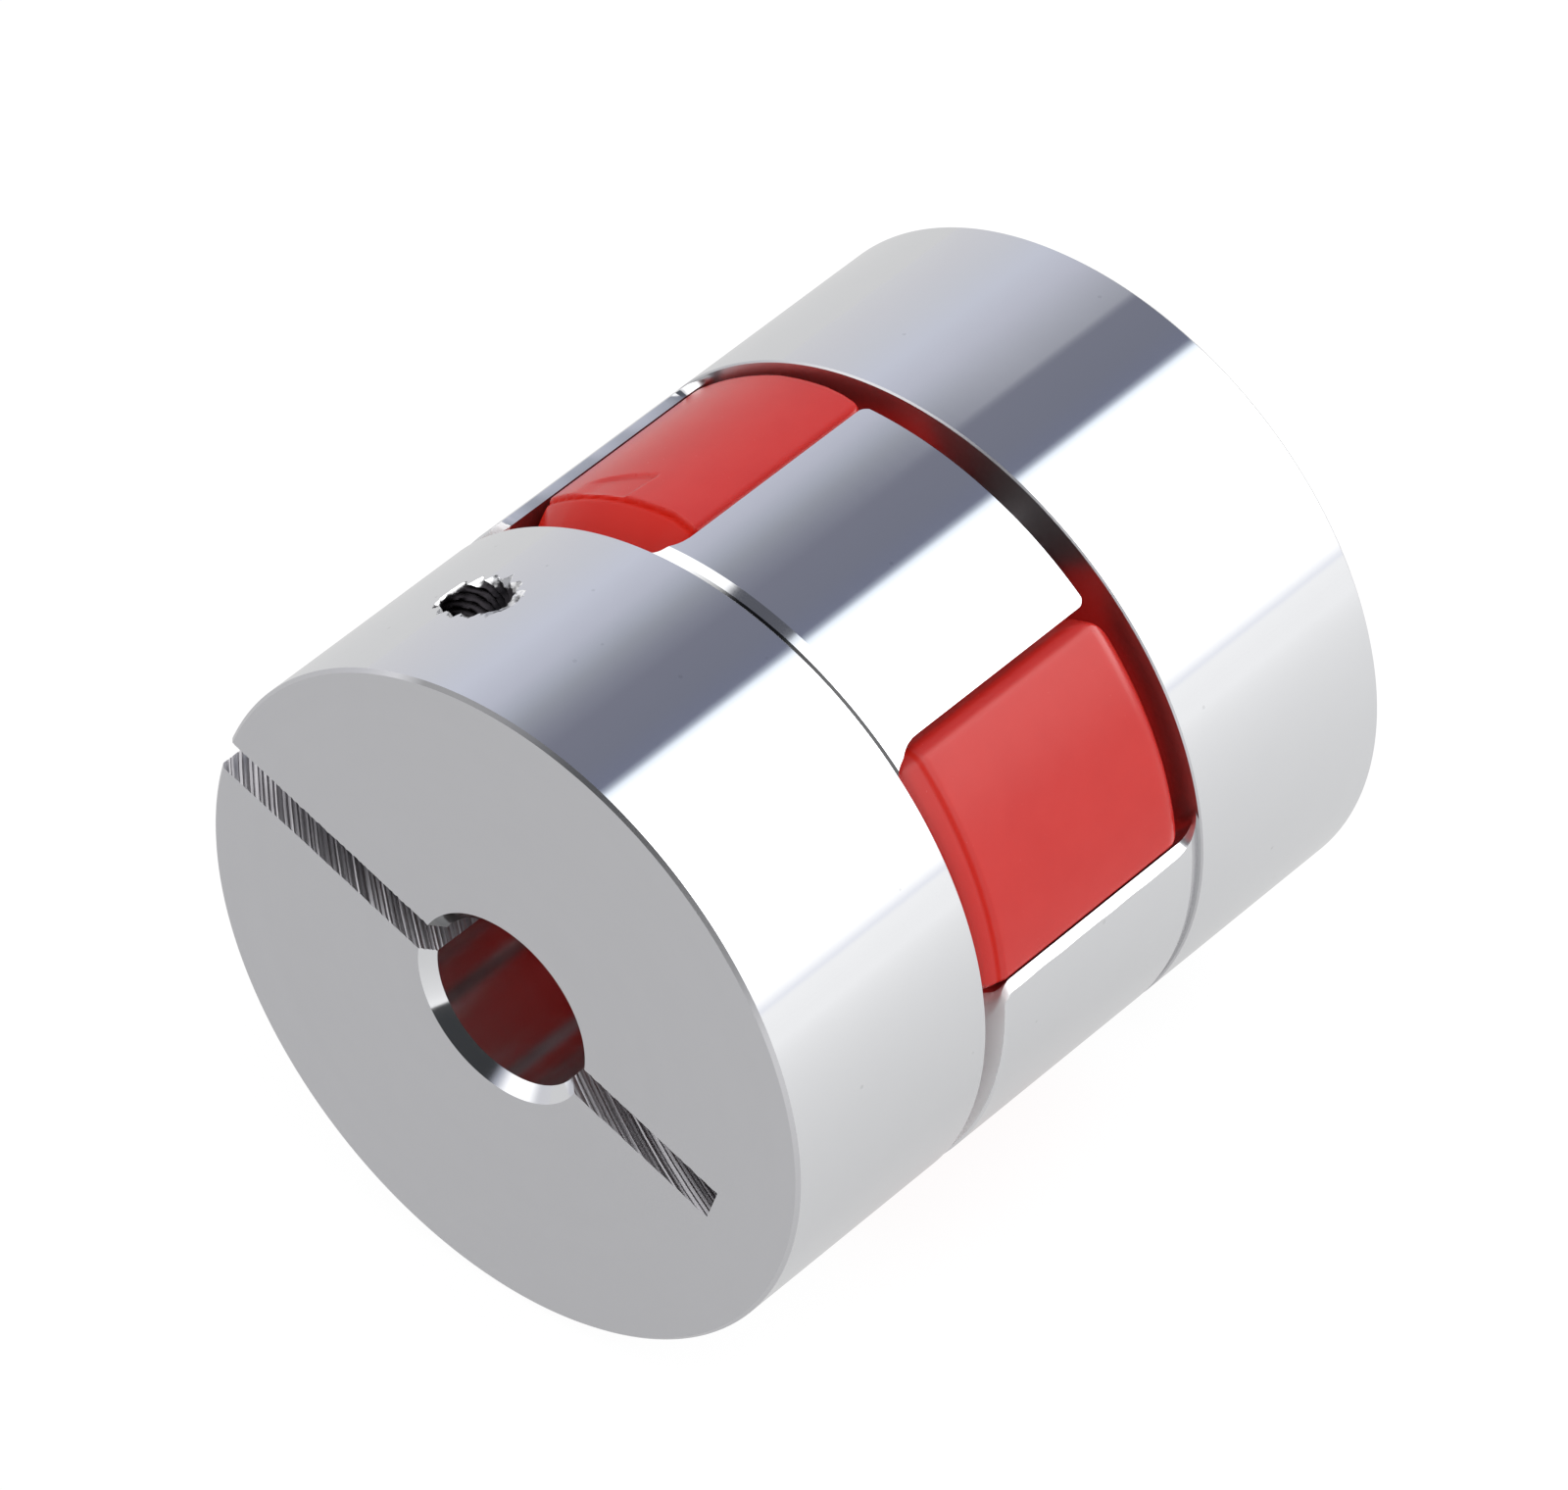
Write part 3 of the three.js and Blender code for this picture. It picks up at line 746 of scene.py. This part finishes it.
def star_mesh():
    ends = [0, 0.03, 0.1, 0.2, 0.32, 0.45, 0.6, 0.78, 1.0, 1.25]
    stations = [-STAR_HALF + e for e in ends]
    stations += list(np.linspace(-STAR_HALF + 1.25, STAR_HALF - 1.25, 98)[1:-1])
    stations += [STAR_HALF - e for e in reversed(ends)]

    def length(k, x, a, r):
        """Where a station falls on lobe k: each lobe has its own length."""
        L = LOBES[k]
        w = ease(7.4, 9.2, r)
        end = np.interp(a, *L["rear"]) if x > 0 else -L["front"]
        return x * ((1 - w) * (5.7 / STAR_HALF) + w * end / STAR_HALF)

    def quarter(e, rad):
        return rad - math.sqrt(max(0.0, rad * rad - (rad - e) ** 2)) if e < rad else 0.0

    def outer(k, x, a):
        """How far lobe k's outer face lies under its full radius."""
        L = LOBES[k]
        d = float(np.interp(a, *L["crease"])) - x
        low = 0.0
        if d > -0.12:
            low += 0.06 * math.exp(-((d - 0.12) / 0.09) ** 2)
            low += 0.15 * ease(-0.05, 0.20, d)
            if d > 0.26:
                low += L["slope"] * (d - 0.26) + 0.10 * (d - 0.26) ** 2
        over = abs(a) - L["sides"][0 if a < 0 else 1]
        if over > -0.6:                # sloping band beside the outer face
            t = over + 0.6
            low += 0.125 * (t * t / 2.4 if t < 1.2 else t - 0.6)
        if L["mark"]:
            below = (-1.65 - 0.041 * (3.3 - a)) - x
            side = (3.3 + 0.5 * (x + 1.65)) - a
            low += 0.11 * ease(0.0, 0.14, below) * ease(0.0, 0.55, side) * (1 - ease(9.0, 15.0, side)) * (1 - ease(-0.08, 0.08, d))
        return low

    rings = []
    for x in stations:
        pts = []
        for k in range(4):
            L = LOBES[k]
            e = STAR_HALF - abs(x)
            rim = L["rim"] if x > 0 else 0.5
            d = quarter(e, rim)
            sides = []
            for f, flank in zip(L["fillet"], L["flank"]):
                rho, g = flank - min(d, 0.3), 0.5
                mid = LOBE_R0 - d
                beta = math.acos(((mid - f) ** 2 + POCKET_C ** 2 - (rho - f) ** 2) / (2 * POCKET_C * (mid - f)))
                F = (mid - f) * np.array([math.sin(beta), math.cos(beta)])
                C = np.array([0.0, POCKET_C])
                u = (F - C) / np.linalg.norm(F - C)
                ring_r = RING_R - min(d, 0.3)
                gamma = math.acos(((ring_r + g) ** 2 + POCKET_C ** 2 - (rho + g) ** 2) / (2 * POCKET_C * (ring_r + g)))
                G = (ring_r + g) * np.array([math.sin(gamma), math.cos(gamma)])
                w = (G - C) / np.linalg.norm(G - C)
                half = []
                for a in np.linspace(0, math.degrees(beta), 46):
                    half.append(mid * np.array([math.sin(math.radians(a)), math.cos(math.radians(a))]))
                a0, a1 = beta, math.atan2(u[0], u[1])
                for t in np.linspace(a0, a1, 11)[1:]:
                    half.append(F + f * np.array([math.sin(t), math.cos(t)]))
                a2 = math.atan2(w[0], w[1])
                for t in np.linspace(a1, a2, 30)[1:]:
                    half.append(C + rho * np.array([math.sin(t), math.cos(t)]))
                b0, b1 = math.atan2(-w[0], -w[1]), math.atan2(-G[0], -G[1])
                if b0 - b1 > math.pi:
                    b1 += 2 * math.pi
                if b1 - b0 > math.pi:
                    b1 -= 2 * math.pi
                for t in np.linspace(b0, b1, 8)[1:]:
                    half.append(G + g * np.array([math.sin(t), math.cos(t)]))
                for a in np.linspace(math.degrees(gamma), 45, 8)[1:-1]:
                    half.append(ring_r * np.array([math.sin(math.radians(a)), math.cos(math.radians(a))]))
                sides.append(np.array(half))
            full = np.concatenate([sides[0][::-1] * [-1, 1], sides[1][1:],
                                   [[ring_r * math.sin(math.pi / 4), ring_r * math.cos(math.pi / 4)]]])
            for sx, sc in full:
                r, a = math.hypot(sx, sc), math.degrees(math.atan2(sx, sc))
                px = length(k, x, a, r)
                w2 = ease(7.6, 9.6, r)
                corner = L["corner"][0 if a < 0 else 1] if x > 0 else L["nose"]
                shrink = quarter(e, corner) * w2
                widest = 27.0
                a *= 1 - math.degrees(shrink / max(r, 8.0)) / widest if r > 7.6 else 1.0
                spread = L["spread"][0 if a < 0 else 1] * ease(12.6, 14.3, r) * ease(10.0, 18.0, abs(a))
                a += math.copysign(spread, a)
                if r > 12.5:
                    r -= outer(k, px, a) * ease(12.5, 14.2, r)
                phi = math.radians(90 * k + a)
                pts.append((px, -r * math.sin(phi), r * math.cos(phi)))
        rings.append(np.array(pts))
    verts, faces, zones = rings_mesh(rings, False, lambda i, a: 0)
    # the end caps follow the lobes' own lengths, so each is a fan from its middle
    n = len(rings[0])
    faces, zones = faces[:-2], zones[:-2]
    verts = np.concatenate([verts, [[-5.7, 0, 0], [5.7, 0, 0]]])
    a0, a1, last = len(verts) - 2, len(verts) - 1, (len(rings) - 1) * n
    for i in range(n):
        j = (i + 1) % n
        faces.append((a0, j, i))
        faces.append((a1, last + i, last + j))
        zones += [0, 0]
    body = build("star", verts, faces, zones, [M_STAR])
    hole = lathe("hole", [(-STAR_HALF - 1, 0.0005), (-STAR_HALF - 1, HOLE_R + 1.6), (-5.4, HOLE_R), (5.4, HOLE_R),
                          (STAR_HALF + 1, HOLE_R + 1.6), (STAR_HALF + 1, 0.0005)], [0] * 6, 180, [M_STAR])
    me = cut(body, [hole])
    me.set_sharp_from_angle(angle=math.radians(40))
    return me


star = star_mesh()
ob = place(star, STAR, "spider_moulded")
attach(ob, "star")
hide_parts("spider")

# ------------------------------------------------------------------ floor, light and camera
scene = bpy.context.scene


def floor():
    me = bpy.data.meshes.new("floor")
    s = 3.0
    z = -0.01501
    me.from_pydata([(-s, -s, z), (s, -s, z), (s, s, z), (-s, s, z)], [], [(0, 1, 2, 3)])
    ob = bpy.data.objects.new("floor", me)
    scene.collection.objects.link(ob)
    m = bpy.data.materials.new("floor_pale")
    m.use_nodes = True
    n = Nodes(m.node_tree)
    n.n.clear()
    out = n.new("ShaderNodeOutputMaterial")
    diff = n.new("ShaderNodeBsdfDiffuse")
    diff.inputs["Color"].default_value = (0.95, 0.95, 0.95, 1)
    em = n.new("ShaderNodeEmission")
    geo = n.new("ShaderNodeNewGeometry")
    sep = n.new("ShaderNodeSeparateXYZ")
    n.link(geo.outputs["Position"], sep.inputs[0])
    dist = n.vmath("LENGTH", geo.outputs["Position"])
    # pool of light: brighter away from the object on the lamp's side
    near = n.math("ADD", 0.62, n.math("MULTIPLY", n.math("LOGARITHM", n.math("DIVIDE", n.math("MAXIMUM", dist, 0.0235), 0.0235),
                                                         math.e), 0.15))
    side = n.math("SMOOTH_MIN", 1.0, n.math("MAXIMUM", n.math("MULTIPLY", sep.outputs[1], -60.0), 0.0), 0.1)
    glow = n.mix(side, 0.66, n.math("MINIMUM", near, 0.98), kind="FLOAT")
    lp = n.new("ShaderNodeLightPath")
    value = n.mix(lp.outputs["Is Camera Ray"], n.mix(lp.outputs["Is Diffuse Ray"], glow, 0.85, kind="FLOAT"), 1.03, kind="FLOAT")
    em.inputs["Color"].default_value = (1.0, 1.0, 1.0, 1)
    n.feed(em.inputs["Strength"], value)
    mixs = n.new("ShaderNodeMixShader")
    mixs.inputs[0].default_value = 0.90
    n.link(diff.outputs[0], mixs.inputs[1])
    n.link(em.outputs[0], mixs.inputs[2])
    n.link(mixs.outputs[0], out.inputs[0])
    me.materials.append(m)


floor()


def world():
    """Soft studio light drawn on the sky: two soft boxes along the object with a dark strip between them overhead."""
    w = bpy.data.worlds.new("studio")
    scene.world = w
    w.use_nodes = True
    n = Nodes(w.node_tree)
    n.n.clear()
    out = n.new("ShaderNodeOutputWorld")
    bg = n.new("ShaderNodeBackground")
    d = n.new("ShaderNodeTexCoord").outputs["Generated"]
    sep = n.new("ShaderNodeSeparateXYZ")
    n.link(d, sep.inputs[0])
    x, y, z = sep.outputs
    psi = n.math("MULTIPLY", n.math("ARCTAN2", n.math("MULTIPLY", y, -1.0), z), 180 / math.pi)   # 0 overhead, +90 towards -Y
    t = n.math("ADD", n.math("DIVIDE", psi, 360.0), 0.5)

    def step(v, lo, hi):
        node = n.new("ShaderNodeMapRange")
        node.interpolation_type = "SMOOTHSTEP"
        n.feed(node.inputs["Value"], v)
        node.inputs["From Min"].default_value = lo
        node.inputs["From Max"].default_value = hi
        return node.outputs["Result"]

    def inv(v):
        return n.math("SUBTRACT", 1.0, v)

    def p(deg):
        return (deg + 180) / 360
    tail = [(p(3.8), (0.18, 0.195, 0.27)), (p(5.2), (0.95, 1.05, 1.16)), (p(7.5), 1.25), (p(14), 2.1), (p(22), 2.7), (p(44), 2.6), (p(58), 2.0),
            (p(80), 1.25), (p(82.5), 1.15), (p(84), (0.86, 0.88, 0.96)), (p(85.5), 1.02), (p(93), 0.98), (p(180), 0.66)]
    head = [(p(-180), 0.66), (p(-90), (0.69, 0.69, 0.71)), (p(-78), (0.665, 0.665, 0.70)), (p(-66), (0.64, 0.65, 0.70))]
    near = n.ramp(t, head + [(p(-54), (0.625, 0.645, 0.735)), (p(-41), (0.53, 0.545, 0.63)), (p(-35), (0.43, 0.45, 0.52)),
                             (p(-29), (0.325, 0.34, 0.39)), (p(-23), (0.25, 0.26, 0.315)), (p(-17), (0.20, 0.207, 0.262)),
                             (p(-5), (0.19, 0.20, 0.255))] + tail)
    far = n.ramp(t, head + [(p(-54), (0.62, 0.64, 0.725)), (p(-41), (0.55, 0.56, 0.64)), (p(-29), (0.44, 0.45, 0.51)),
                            (p(-20.6), (0.37, 0.38, 0.43)), (p(-19.2), (0.20, 0.208, 0.262)), (p(-5), (0.19, 0.20, 0.255))] + tail)
    col = n.mix(step(x, 0.5865, 0.5895), near, far)
    # the box on the +Y side stops short of the far end
    box = n.math("MULTIPLY", n.math("MULTIPLY", step(psi, -80, -66), inv(step(psi, -19, -15))),
                 n.math("MULTIPLY", step(x, -0.74, -0.66), inv(step(x, 0.34, 0.44))))
    col = n.mix(box, col, grey(1.3))
    strip = n.math("MULTIPLY", n.math("MULTIPLY", step(psi, -19, -15), inv(step(psi, 3.8, 5.2))), inv(step(x, 0.25, 0.5)))
    col = n.mix(strip, col, grey((0.10, 0.104, 0.125)))
    # dark room behind the camera and past the far end of the boxes
    back = n.math("MULTIPLY", inv(step(x, -0.78, -0.70)), n.math("MULTIPLY", step(psi, -34, -22), inv(step(psi, 92, 100))))
    col = n.mix(back, col, grey((0.04, 0.042, 0.045)))
    # a lamp past the far end, above the near side, and a dark far end on the other side
    end = n.math("MULTIPLY", n.math("MULTIPLY", step(x, 0.72, 0.82), step(z, 0.0, 0.15)), inv(step(psi, 2, 12)))
    col = n.mix(end, col, grey((0.16, 0.165, 0.18)))
    hot = n.math("MULTIPLY", n.math("MULTIPLY", step(x, 0.64, 0.72), inv(step(x, 0.93, 0.97))),
                 n.math("MULTIPLY", step(psi, 8, 24), inv(step(psi, 70, 95))))
    col = n.mix(hot, col, grey(5.0))
    lp = n.new("ShaderNodeLightPath")
    see = n.mix(lp.outputs["Is Camera Ray"], n.mix(lp.outputs["Is Diffuse Ray"], col, grey(1.0)), grey(1.03))
    n.link(see, bg.inputs["Color"])
    bg.inputs["Strength"].default_value = 1.0
    n.link(bg.outputs[0], out.inputs[0])


world()

cam = bpy.data.cameras.new("camera")
cam.sensor_width = 36.0
cam.lens = 267.2
cam.clip_start, cam.clip_end = 0.01, 20
co = bpy.data.objects.new("camera", cam)
scene.collection.objects.link(co)
right, down, fwd = Vector((0.65300, -0.75734, 0.0)), Vector((-0.50433, -0.43483, -0.7460)), Vector((0.56502, 0.48714, -0.6659))
rot = Matrix((right, -down, -fwd)).transposed()
co.matrix_world = Matrix.Translation(Vector((-256.78, -220.59, 303.87)) * 0.001) @ rot.normalized().to_4x4()
scene.camera = co

scene.view_settings.view_transform = "Standard"
scene.view_settings.look = "None"
scene.cycles.use_denoising = True
scene.cycles.max_bounces = 16
scene.cycles.glossy_bounces = 10
scene.cycles.sample_clamp_indirect = 8
